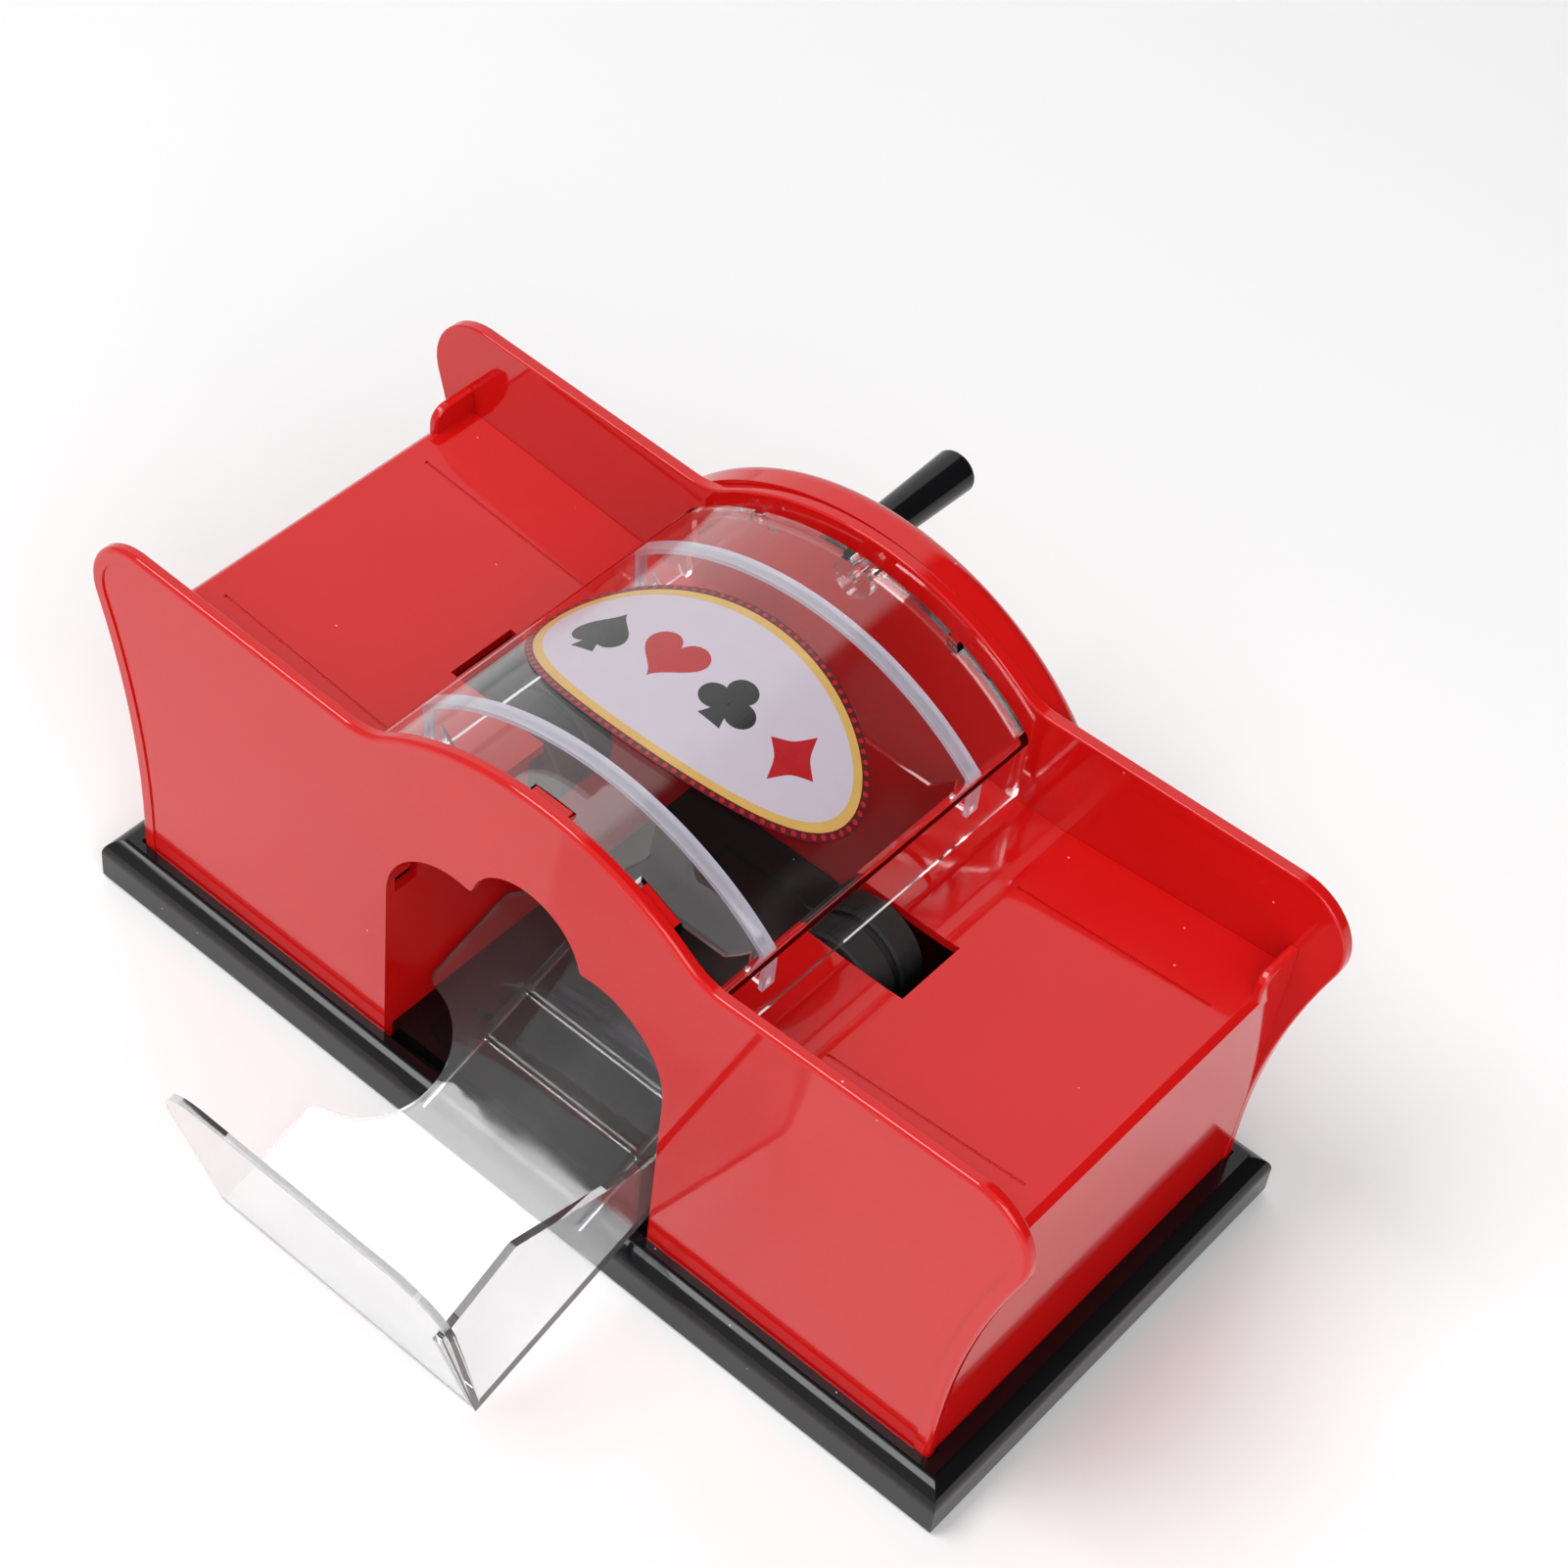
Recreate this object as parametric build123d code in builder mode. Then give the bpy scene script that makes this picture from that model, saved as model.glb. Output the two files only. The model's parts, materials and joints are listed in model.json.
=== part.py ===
from build123d import *
import math
import os

# Hand-cranked two-deck playing card shuffler.
# Millimetres. +Z is up and z = 0 is the surface that the rubber feet stand on. +X runs along the
# length, from hopper to hopper. The tray comes out of the -Y side and the crank is on the +Y side.
# The origin is on the table, under the middle of the base.

# ---- Playing cards that everything is sized round ----
CARD_LONG = 88.9
CARD_SHORT = 63.5

# ---- Base ----
BASE_X = 112.5
BASE_Y = 54.2
BASE_LOW = 0.8
BASE_TOP = 12.3
LEDGE_STEP = 0.6
PLATEAU_X = 108.6
PLATEAU_Y = 50.6
BASE_ROUND = 4.5
BASE_WALL = 2.4
DECK_LOW = BASE_TOP - LEDGE_STEP - 3.2
FOOT_TALL = 1.2
FOOT_R = 6.5
FEET = (180, 72)
COVER_TOP = 3.0
BASE_SCREWS = (98, 84)
HOPPER_SCREWS = (120, 72)
SEAT = BASE_TOP + 0.05

# ---- Side panels: one profile, cut from 2.7 mm board at the front and at the back ----
PANEL_IN = CARD_LONG / 2 + 1.55
PANEL_T = 2.7
PANEL_OUT = PANEL_IN + PANEL_T
PANEL_FOOT = 8.5
PANEL_HALF = 105.4
FLARE_Z = 20.0
FLARE_R = 182.0
EAR_R = 13.2
EAR_Z = 83.0
DOME_R = 63.0
DOME_TOP = 109.4
PANEL_EDGE = 1.1
INNER_EDGE = 0.5
REAR_EDGE = 0.4
RIM_WIDE = 3.2
RIM_DEEP = 0.35

# ---- Arch in the front panel ----
ARCH_X = 35.5
ARCH_SHOULDER = 56.0
ARCH_CUSP = (13.6, 73.2)
ARCH_LOBE_R = 13.8

# ---- Hoppers ----
CHAMBER_X = CARD_SHORT / 2 + 0.25
FLOOR_Z = 69.5
FLOOR_FOLD = 54.0
FLOOR_END = (105.6, 74.1)
FLOOR_T = 2.2
INNER_WALL = 35.6
WALL_T = 2.0
END_FOOT = 105.2
END_TOP = (106.9, 73.0)
HOPPER_Y = PANEL_IN - 0.1
SLOT_END = 57.7
SLOT_Y = 8.5
GROOVE_Y = 28.0
FIN_Y = 35.0
FIN_TOP = 79.8
FIN_ROUND = 4.0
BRACE_X = 47.0
BRACE_LONG = 19.2

# ---- Rollers ----
AXIS_Z = 58.6
ROLLER_X = 40.0
ROLLER_R = 11.7
HUB_R = 9.4
HUB_Y = 7.4
SHAFT_R = 2.0

# ---- Bushes. FIT is the gap round a turning shaft, PRESS the gap round one that is held ----
FIT = 0.05
PRESS = 0.02
SHAFT_BUSH_R = 3.55
CRANK_BUSH_R = 3.95
CRANK_FLANGE_R = 5.4
FLANGE_T = 0.6

# ---- Gears: module 1, 25 degree teeth ----
MODULE = 1.0
PRESSURE = math.radians(25)
ADDENDUM = 0.8
DEDENDUM = 1.05
BACKLASH = 0.16
OUTER_TEETH = 64
INNER_TEETH = 48
RIGHT_TEETH = 16
IDLER_TEETH = 16
LEFT_TEETH = 12
INNER_LAYER = (49.6, 52.2)
OUTER_LAYER = (52.9, 55.0)

# ---- Gear housing ----
HOUSING_R = 63.2
HOUSING_X = -1.5
HOUSING_Z = 46.3
HOUSING_FOOT = 12.7
HOUSING_BACK = 57.4
HOUSING_WALL = 1.8
HOUSING_RIM = 2.4
HOUSING_EDGE = 4.4
HOUSING_SCREWS = [(-44, 24), (44, 24), (-24, 95), (22, 95)]

# ---- Crank ----
CRANK_R = 2.5
ARM_LENGTH = 28.7
ARM_ANGLE = math.radians(130)
ARM_Y = (59.5, 64.0)
GRIP_Y = (64.5, 100.5)
GRIP_R = (4.0, 5.0)
PIN_R = 1.6

# ---- Clear cover ----
COVER_R = 63.0
COVER_Z = 44.0
COVER_X = 43.4
COVER_T = 1.5
FOLD_R = 3.5
FLANGE_Z = 74.0
COVER_FRONT = -PANEL_IN + 0.3
COVER_BACK = 43.3
COVER_MID = (COVER_FRONT + COVER_BACK) / 2
GUIDE_Y = 29.5
GUIDE_T = 1.6
GUIDE_EDGE = 3.3
GUIDE_GAP = 0.03
GUIDE_X = 38.2
GUIDE_HIP = 86.0
GUIDE_BELLY = 67.5
GUIDE_FOOT = 80.0
TAB_Y = 2.6
TAB_TALL = 3.6
TABS = [(-3.6, 5.2), (22.0, 31.0)]
LABEL_AT = (-1.0, -3.0)
LABEL_HALF = (38.4, 21.8)

# ---- Clear tray ----
TRAY_FRONT = -93.4
TRAY_LIFT = 0.15
TRAY_TILT = math.radians(18.5)
WALL_LEAN = math.radians(15.5)
TRAY_X = 34.0
TRAY_LONG = 90.0
TRAY_T = 1.6
RIB_TALL = 2.0
NOTCH_R = 16.6
NOTCH_U = 42.4
FRONT_TALL = 52.0
SIDE_TALL = 40.4

grip_x = ARM_LENGTH * math.cos(ARM_ANGLE)
grip_z = AXIS_Z + ARM_LENGTH * math.sin(ARM_ANGLE)

# The idler stands where it meets both the inner wheel of the drive gear and the left pinion.
reach_drive = MODULE * (INNER_TEETH + IDLER_TEETH) / 2
reach_left = MODULE * (IDLER_TEETH + LEFT_TEETH) / 2
idler_x = -(reach_drive**2 - reach_left**2 + ROLLER_X**2) / (2 * ROLLER_X)
idler_z = AXIS_Z + math.sqrt(reach_drive**2 - idler_x**2)

housing_inside = HOUSING_BACK - HOUSING_WALL

os.makedirs("parts", exist_ok=True)


def save(part, name):
    """Label a finished piece and write it to its own file."""
    part.label = name
    export_step(part, f"parts/{name}.step")


def at_y(y):
    """Upright plane at this y. Its sketch is drawn in (X, Z), and extrude goes towards -Y."""
    return Plane.XZ.offset(-y)


def ring_at(x, z, y_low, y_high, outer, inner):
    """A plain ring whose axis runs along Y."""
    with BuildPart() as ring:
        with BuildSketch(at_y(y_high)):
            with Locations((x, z)):
                Circle(outer)
                if inner:
                    Circle(inner, mode=Mode.SUBTRACT)
        extrude(amount=y_high - y_low)
    return ring.part


# ------------------------------------------------------------------ base
with BuildPart() as base_shell:
    with BuildSketch(Plane.XY.offset(BASE_LOW)):
        Rectangle(2 * BASE_X, 2 * BASE_Y)
    extrude(amount=BASE_TOP - LEDGE_STEP - BASE_LOW)
    fillet(base_shell.faces().sort_by(Axis.Z)[-1].edges(), BASE_ROUND)
    with BuildSketch(Plane.XY.offset(BASE_TOP - LEDGE_STEP - 1)):
        Rectangle(2 * PLATEAU_X, 2 * PLATEAU_Y)
    extrude(amount=LEDGE_STEP + 1)
    with BuildSketch(Plane.XY.offset(BASE_LOW)):
        Rectangle(2 * (BASE_X - BASE_WALL), 2 * (BASE_Y - BASE_WALL))
    extrude(amount=DECK_LOW - BASE_LOW, mode=Mode.SUBTRACT)
    # Bosses that take the screws of the bottom cover.
    with BuildSketch(Plane.XY.offset(COVER_TOP)):
        with GridLocations(*BASE_SCREWS, 3, 2):
            Circle(3.4)
    extrude(until=Until.NEXT)
    with BuildSketch(Plane.XY.offset(COVER_TOP)):
        with GridLocations(*BASE_SCREWS, 3, 2):
            Circle(1.35)
    extrude(amount=5, mode=Mode.SUBTRACT)
    # Slots that the feet of the two panels drop into.
    with BuildSketch(Plane.XY.offset(BASE_TOP)):
        with Locations((0, -PANEL_IN - PANEL_T / 2), (0, PANEL_IN + PANEL_T / 2)):
            Rectangle(2 * PANEL_HALF + 1.0, PANEL_T + 0.3)
    extrude(amount=-(BASE_TOP - PANEL_FOOT + 0.1), mode=Mode.SUBTRACT)
    # Holes for the screws that hold the hoppers down.
    with BuildSketch(Plane.XY.offset(BASE_TOP)):
        with GridLocations(*HOPPER_SCREWS, 2, 2):
            Circle(1.6)
    extrude(amount=-6, mode=Mode.SUBTRACT)
    # Shallow recess in the floor of the card chamber.
    with BuildSketch(Plane.XY.offset(BASE_TOP)):
        with Locations((3, 2)):
            Rectangle(44, 70)
    extrude(amount=-0.8, mode=Mode.SUBTRACT)
save(base_shell.part, "base_shell")

with BuildPart() as bottom_cover:
    with BuildSketch(Plane.XY.offset(FOOT_TALL)):
        Rectangle(2 * (BASE_X - BASE_WALL) - 0.4, 2 * (BASE_Y - BASE_WALL) - 0.4)
    extrude(amount=COVER_TOP - FOOT_TALL)
    with BuildSketch(Plane.XY.offset(FOOT_TALL)):
        with GridLocations(*BASE_SCREWS, 3, 2):
            Circle(1.5)
    extrude(amount=COVER_TOP, mode=Mode.SUBTRACT)
    with BuildSketch(Plane.XY.offset(FOOT_TALL)):
        with GridLocations(*BASE_SCREWS, 3, 2):
            Circle(2.9)
    extrude(amount=1.0, mode=Mode.SUBTRACT)
save(bottom_cover.part, "bottom_cover")

with BuildPart() as rubber_feet:
    with BuildSketch():
        with GridLocations(*FEET, 2, 2):
            Circle(FOOT_R)
        Circle(FOOT_R)
    extrude(amount=FOOT_TALL)
    chamfer(rubber_feet.faces().sort_by(Axis.Z)[:5].edges(), 0.3)
save(rubber_feet.part, "rubber_feet")

with BuildPart() as bottom_screws:
    with BuildSketch(Plane.XY.offset(FOOT_TALL + 0.1)):
        with GridLocations(*BASE_SCREWS, 3, 2):
            Circle(2.7)
            Rectangle(3.0, 0.7, mode=Mode.SUBTRACT)
            Rectangle(0.7, 3.0, mode=Mode.SUBTRACT)
    extrude(amount=0.5)
    with BuildSketch(Plane.XY.offset(FOOT_TALL + 0.6)):
        with GridLocations(*BASE_SCREWS, 3, 2):
            Circle(2.7)
    extrude(amount=0.4)
    with BuildSketch(Plane.XY.offset(FOOT_TALL + 1.0)):
        with GridLocations(*BASE_SCREWS, 3, 2):
            Circle(1.3)
    extrude(amount=5.2)
save(bottom_screws.part, "bottom_screws")


# ------------------------------------------------------------------ side panels
def on_circle(centre, radius, degrees):
    """Point of a circle, as (X, Z). Zero degrees is towards +X and 90 is up."""
    angle = math.radians(degrees)
    return (centre[0] + radius * math.cos(angle), centre[1] + radius * math.sin(angle))


def panel_outline():
    """Face of a side panel, in (X, Z): two flared ears and a raised dome between them."""
    dome = (0, DOME_TOP - DOME_R)
    flare = (PANEL_HALF + FLARE_R, FLARE_Z)
    ear_x = flare[0] - math.sqrt((FLARE_R + EAR_R) ** 2 - (EAR_Z - FLARE_Z) ** 2)
    ear = (ear_x, EAR_Z)
    lean = math.degrees(math.asin((EAR_Z - FLARE_Z) / (FLARE_R + EAR_R)))
    join = on_circle(dome, DOME_R, 49.4)
    with BuildSketch() as outline:
        with BuildLine():
            Polyline((0, PANEL_FOOT), (PANEL_HALF, PANEL_FOOT), (PANEL_HALF, FLARE_Z))
            ThreePointArc(
                (PANEL_HALF, FLARE_Z),
                on_circle(flare, FLARE_R, 180 - lean / 2),
                on_circle(flare, FLARE_R, 180 - lean),
            )
            ThreePointArc(
                on_circle(flare, FLARE_R, 180 - lean),
                on_circle(ear, EAR_R, 45 - lean / 2),
                on_circle(ear, EAR_R, 90),
            )
            Line(on_circle(ear, EAR_R, 90), join)
            ThreePointArc(join, on_circle(dome, DOME_R, 70), (0, DOME_TOP))
            Line((0, DOME_TOP), (0, PANEL_FOOT))
        make_face()
        hollow = outline.vertices().filter_by(lambda v: abs(v.X - join[0]) < 0.1)
        fillet(hollow, 14)
        mirror(about=Plane.YZ)
    return outline.sketch


def arch_outline():
    """Opening in the front panel: straight jambs, two shoulders and a round middle lobe."""
    lobe_z = DOME_TOP - DOME_R + 24.6
    with BuildSketch() as arch:
        with BuildLine():
            Line((0, PANEL_FOOT - 1), (ARCH_X, PANEL_FOOT - 1))
            Line((ARCH_X, PANEL_FOOT - 1), (ARCH_X, ARCH_SHOULDER))
            ThreePointArc((ARCH_X, ARCH_SHOULDER), (32.2, 65.8), (23, 72.8))
            ThreePointArc((23, 72.8), (18, 73.7), ARCH_CUSP)
            ThreePointArc(ARCH_CUSP, (9.6, lobe_z + 9.9), (0, lobe_z + ARCH_LOBE_R))
            Line((0, lobe_z + ARCH_LOBE_R), (0, PANEL_FOOT - 1))
        make_face()
        cusp = arch.vertices().filter_by(lambda v: abs(v.X - ARCH_CUSP[0]) < 0.1)
        fillet(cusp, 1.2)
        mirror(about=Plane.YZ)
    return arch.sketch


with BuildPart() as front_panel:
    with BuildSketch(at_y(-PANEL_IN)):
        add(panel_outline())
    extrude(amount=PANEL_T)
    rim = front_panel.faces().sort_by(Axis.Y)[0].outer_wire().edges()
    fillet(rim.filter_by(lambda e: e.center().Z > PANEL_FOOT + 0.5), PANEL_EDGE)
    rim = front_panel.faces().sort_by(Axis.Y)[-1].outer_wire().edges()
    fillet(rim.filter_by(lambda e: e.center().Z > PANEL_FOOT + 0.5), INNER_EDGE)
    # Face set back a little inside a raised rim.
    with BuildSketch(at_y(-PANEL_OUT)):
        offset(panel_outline(), amount=-RIM_WIDE)
    extrude(amount=-RIM_DEEP, mode=Mode.SUBTRACT)
    with BuildSketch(at_y(-PANEL_IN)):
        add(arch_outline())
    extrude(amount=PANEL_T, mode=Mode.SUBTRACT)
    # Blind rings inside the panel carry the front bushes of the two roller shafts.
    with BuildSketch(at_y(-PANEL_IN + 4)):
        with Locations((-ROLLER_X, AXIS_Z), (ROLLER_X, AXIS_Z)):
            Circle(4.7)
            Circle(3.6, mode=Mode.SUBTRACT)
    extrude(amount=4)
    # Tabs that hold the front edge of the clear cover.
    for low, high in TABS:
        middle = (low + high) / 2
        height = COVER_Z + math.sqrt(COVER_R**2 - middle**2) - TAB_TALL / 2
        lean = math.degrees(-math.asin(middle / COVER_R))
        with BuildSketch(at_y(-PANEL_IN + TAB_Y)):
            with Locations(Location((middle, height), lean)):
                Rectangle(high - low, TAB_TALL)
                Rectangle(high - low - 3, TAB_TALL - 2, mode=Mode.SUBTRACT)
        extrude(amount=TAB_Y)
save(front_panel.part, "front_panel")

with BuildPart() as back_panel:
    with BuildSketch(at_y(PANEL_OUT)):
        add(panel_outline())
    extrude(amount=PANEL_T)
    rim = back_panel.faces().sort_by(Axis.Y)[-1].outer_wire().edges()
    fillet(rim.filter_by(lambda e: e.center().Z > PANEL_FOOT + 0.5), REAR_EDGE)
    rim = back_panel.faces().sort_by(Axis.Y)[0].outer_wire().edges()
    fillet(rim.filter_by(lambda e: e.center().Z > PANEL_FOOT + 0.5), INNER_EDGE)
    with BuildSketch(at_y(PANEL_OUT)):
        with Locations((-ROLLER_X, AXIS_Z), (ROLLER_X, AXIS_Z)):
            Circle(3.6)
        with Locations((0, AXIS_Z)):
            Circle(4.0)
        with Locations(*HOUSING_SCREWS):
            Circle(1.45)
        with Locations((idler_x, idler_z)):
            Circle(1.5)
    extrude(amount=PANEL_T, mode=Mode.SUBTRACT)
save(back_panel.part, "back_panel")

# ------------------------------------------------------------------ hoppers
slope = math.atan2(FLOOR_END[1] - FLOOR_Z, FLOOR_END[0] - FLOOR_FOLD)
screw_x = HOPPER_SCREWS[0] / 2
screw_y = HOPPER_SCREWS[1] / 2

with BuildPart() as right_hopper:
    with BuildSketch(at_y(HOPPER_Y)):
        with BuildLine():
            Polyline(
                (CHAMBER_X, FLOOR_Z),
                (FLOOR_FOLD, FLOOR_Z),
                FLOOR_END,
                END_TOP,
                (END_FOOT, SEAT),
                (END_FOOT - FLOOR_T, SEAT),
                (END_TOP[0] - FLOOR_T, END_TOP[1] - 1.4),
                (FLOOR_FOLD, FLOOR_Z - FLOOR_T),
                (INNER_WALL + WALL_T, FLOOR_Z - FLOOR_T),
                (INNER_WALL + WALL_T, SEAT),
                (INNER_WALL, SEAT),
                (INNER_WALL, FLOOR_Z - FLOOR_T),
                (CHAMBER_X, FLOOR_Z - FLOOR_T),
                close=True,
            )
        make_face()
    extrude(amount=2 * HOPPER_Y)
    fillet(right_hopper.edges().filter_by(Axis.Y).group_by(Axis.Z)[-1], 1.2)
    # Slot for the roller: open towards the card chamber, and down through the inner wall.
    with BuildSketch(Plane.XY.offset(FLOOR_Z + 1)):
        with Locations(((CHAMBER_X + SLOT_END) / 2 - 1, 0)):
            Rectangle(SLOT_END - CHAMBER_X + 2, 2 * SLOT_Y)
    extrude(amount=-8, mode=Mode.SUBTRACT)
    with BuildSketch(Plane.YZ.offset(INNER_WALL - 1)):
        with Locations((0, 56)):
            Rectangle(2 * SLOT_Y, 21)
        with Locations((-HOPPER_Y, AXIS_Z), (HOPPER_Y, AXIS_Z)):
            Rectangle(12, 12)
    extrude(amount=WALL_T + 2, mode=Mode.SUBTRACT)
    # Two fine grooves along the floor.
    groove_plane = Plane(
        origin=(FLOOR_FOLD, 0, FLOOR_Z),
        x_dir=(math.cos(slope), 0, math.sin(slope)),
        z_dir=(-math.sin(slope), 0, math.cos(slope)),
    )
    with BuildSketch(groove_plane):
        with Locations((24.5, -GROOVE_Y), (24.5, GROOVE_Y)):
            Rectangle(45, 0.7)
    extrude(amount=-0.5, mode=Mode.SUBTRACT)
    # Upturned stop at the rear outer corner, with a rounded edge.
    with BuildPart(mode=Mode.PRIVATE) as fin:
        with BuildSketch(Plane.YZ.offset(END_TOP[0])):
            with BuildLine():
                Line((FIN_Y, END_TOP[1] - 2), (FIN_Y, FIN_TOP - FIN_ROUND))
                ThreePointArc(
                    (FIN_Y, FIN_TOP - FIN_ROUND),
                    on_circle((FIN_Y + FIN_ROUND, FIN_TOP - FIN_ROUND), FIN_ROUND, 135),
                    (FIN_Y + FIN_ROUND, FIN_TOP),
                )
                Polyline(
                    (FIN_Y + FIN_ROUND, FIN_TOP),
                    (HOPPER_Y, FIN_TOP),
                    (HOPPER_Y, END_TOP[1] - 2),
                    (FIN_Y, END_TOP[1] - 2),
                )
            make_face()
        extrude(amount=-FLOOR_T)
        rim = fin.edges().filter_by(lambda e: END_TOP[1] < e.center().Z and e.center().Y < HOPPER_Y - 0.5)
        fillet(rim.filter_by(lambda e: abs((e % 0.5).X) < 0.1), 0.7)
    add(fin.part)
    # Feet inside the box that take the screws from below.
    with BuildSketch(Plane.XY.offset(SEAT)):
        with Locations((screw_x, -screw_y), (screw_x, screw_y)):
            Circle(3.6)
            Circle(1.35, mode=Mode.SUBTRACT)
    extrude(amount=8)
    with BuildSketch(Plane.XY.offset(SEAT)):
        with Locations((BRACE_X, -screw_y), (BRACE_X, screw_y)):
            Rectangle(BRACE_LONG, 1.8)
    extrude(amount=8)
save(right_hopper.part, "right_hopper")

with BuildPart() as left_hopper:
    mirror(right_hopper.part, about=Plane.YZ)
save(left_hopper.part, "left_hopper")

with BuildPart() as hopper_screws:
    with BuildSketch(Plane.XY.offset(DECK_LOW)):
        with GridLocations(*HOPPER_SCREWS, 2, 2):
            Circle(2.8)
    extrude(amount=-1.2)
    with BuildSketch(Plane.XY.offset(DECK_LOW)):
        with GridLocations(*HOPPER_SCREWS, 2, 2):
            Circle(1.3)
    extrude(amount=9)
save(hopper_screws.part, "hopper_screws")

# ------------------------------------------------------------------ bushes of the shafts
for side, x in (("left", -ROLLER_X), ("right", ROLLER_X)):
    with BuildPart() as front_bush:
        add(ring_at(x, AXIS_Z, -PANEL_IN, -PANEL_IN + 4, SHAFT_BUSH_R, SHAFT_R + FIT))
        add(ring_at(x, AXIS_Z, -PANEL_IN, -PANEL_IN + 0.6, 3.0, 0))
    save(front_bush.part, f"{side}_front_bush")
    with BuildPart() as rear_bush:
        add(ring_at(x, AXIS_Z, PANEL_IN, PANEL_OUT, SHAFT_BUSH_R, SHAFT_R + FIT))
        add(ring_at(x, AXIS_Z, PANEL_OUT, PANEL_OUT + FLANGE_T, 4.6, SHAFT_R + FIT))
    save(rear_bush.part, f"{side}_rear_bush")

with BuildPart() as crank_inner_bush:
    add(ring_at(0, AXIS_Z, PANEL_IN + 0.1, PANEL_OUT, CRANK_BUSH_R, CRANK_R + FIT))
    add(ring_at(0, AXIS_Z, PANEL_OUT, PANEL_OUT + FLANGE_T, CRANK_FLANGE_R, CRANK_R + FIT))
save(crank_inner_bush.part, "crank_inner_bush")

with BuildPart() as crank_outer_bush:
    add(ring_at(0, AXIS_Z, housing_inside - FLANGE_T, housing_inside, CRANK_FLANGE_R, CRANK_R + FIT))
    add(ring_at(0, AXIS_Z, housing_inside, HOUSING_BACK + 1.5, CRANK_BUSH_R, CRANK_R + FIT))
save(crank_outer_bush.part, "crank_outer_bush")


# ------------------------------------------------------------------ gear train
def gear_face(teeth, tooth_at):
    """Involute gear outline round (0, 0). One tooth is centred on the angle tooth_at, in radians."""
    pitch_r = MODULE * teeth / 2
    base_r = pitch_r * math.cos(PRESSURE)
    root_r = pitch_r - DEDENDUM * MODULE
    tip_r = pitch_r + ADDENDUM * MODULE
    half_pitch = math.pi / (2 * teeth) - BACKLASH / (2 * pitch_r)
    involute = math.tan(PRESSURE) - PRESSURE
    low_r = max(root_r, base_r)
    flank = [root_r, low_r, (low_r + pitch_r) / 2, pitch_r, tip_r]
    if low_r - root_r < 0.05:
        flank = flank[1:]

    def half_angle(r):
        if r <= base_r:
            return half_pitch + involute
        roll = math.acos(base_r / r)
        return half_pitch + involute - (math.tan(roll) - roll)

    points = []
    for tooth in range(teeth):
        centre = tooth_at + 2 * math.pi * tooth / teeth
        for r in flank:
            angle = centre - half_angle(r)
            points.append((r * math.cos(angle), r * math.sin(angle)))
        for r in reversed(flank):
            angle = centre + half_angle(r)
            points.append((r * math.cos(angle), r * math.sin(angle)))
    with BuildSketch() as face:
        with BuildLine():
            Polyline(*points, close=True)
        make_face()
    return face.sketch


def mesh_with(teeth, tooth_at, towards, other_teeth):
    """Angle of a tooth of the other gear, which lies in direction towards and is in mesh."""
    back = towards + math.pi
    return back + (math.pi - teeth * (tooth_at - towards)) / other_teeth


to_idler = math.atan2(idler_z - AXIS_Z, idler_x)
to_left = math.atan2(AXIS_Z - idler_z, -ROLLER_X - idler_x)
idler_tooth = mesh_with(INNER_TEETH, to_idler, to_idler, IDLER_TEETH)
left_tooth = mesh_with(IDLER_TEETH, idler_tooth, to_left, LEFT_TEETH)
right_tooth = mesh_with(OUTER_TEETH, 0, 0, RIGHT_TEETH)

with BuildPart() as drive_gear:
    with BuildSketch(at_y(INNER_LAYER[1])):
        with Locations((0, AXIS_Z)):
            add(gear_face(INNER_TEETH, to_idler))
    extrude(amount=INNER_LAYER[1] - INNER_LAYER[0])
    with BuildSketch(at_y(OUTER_LAYER[1])):
        with Locations((0, AXIS_Z)):
            add(gear_face(OUTER_TEETH, 0))
    extrude(amount=OUTER_LAYER[1] - OUTER_LAYER[0])
    with BuildSketch(at_y(OUTER_LAYER[0])):
        with Locations((0, AXIS_Z)):
            Circle(8)
    extrude(amount=OUTER_LAYER[0] - INNER_LAYER[1])
    # Round lightening holes between the hub and the rim.
    with BuildSketch(at_y(OUTER_LAYER[1])):
        with Locations((0, AXIS_Z)):
            with PolarLocations(15.5, 6):
                Circle(4.5)
            Circle(CRANK_R + PRESS)
    extrude(amount=OUTER_LAYER[1] - INNER_LAYER[0], mode=Mode.SUBTRACT)
save(drive_gear.part, "drive_gear")

PINIONS = [
    ("right_pinion", ROLLER_X, AXIS_Z, RIGHT_TEETH, right_tooth, OUTER_LAYER, SHAFT_R + PRESS),
    ("left_pinion", -ROLLER_X, AXIS_Z, LEFT_TEETH, left_tooth, INNER_LAYER, SHAFT_R + PRESS),
    ("idler_gear", idler_x, idler_z, IDLER_TEETH, idler_tooth, INNER_LAYER, 1.5 + FIT),
]
for name, x, z, teeth, tooth_at, layer, bore in PINIONS:
    with BuildPart() as pinion:
        with BuildSketch(at_y(layer[1])):
            with Locations((x, z)):
                add(gear_face(teeth, tooth_at))
                Circle(bore, mode=Mode.SUBTRACT)
        extrude(amount=layer[1] - layer[0])
    save(pinion.part, name)

with BuildPart() as idler_pin:
    add(ring_at(idler_x, idler_z, PANEL_IN + 0.1, INNER_LAYER[1] + 0.1, 1.5, 0))
    add(ring_at(idler_x, idler_z, INNER_LAYER[1] + 0.1, INNER_LAYER[1] + 0.45, 2.4, 0))
save(idler_pin.part, "idler_pin")

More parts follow.
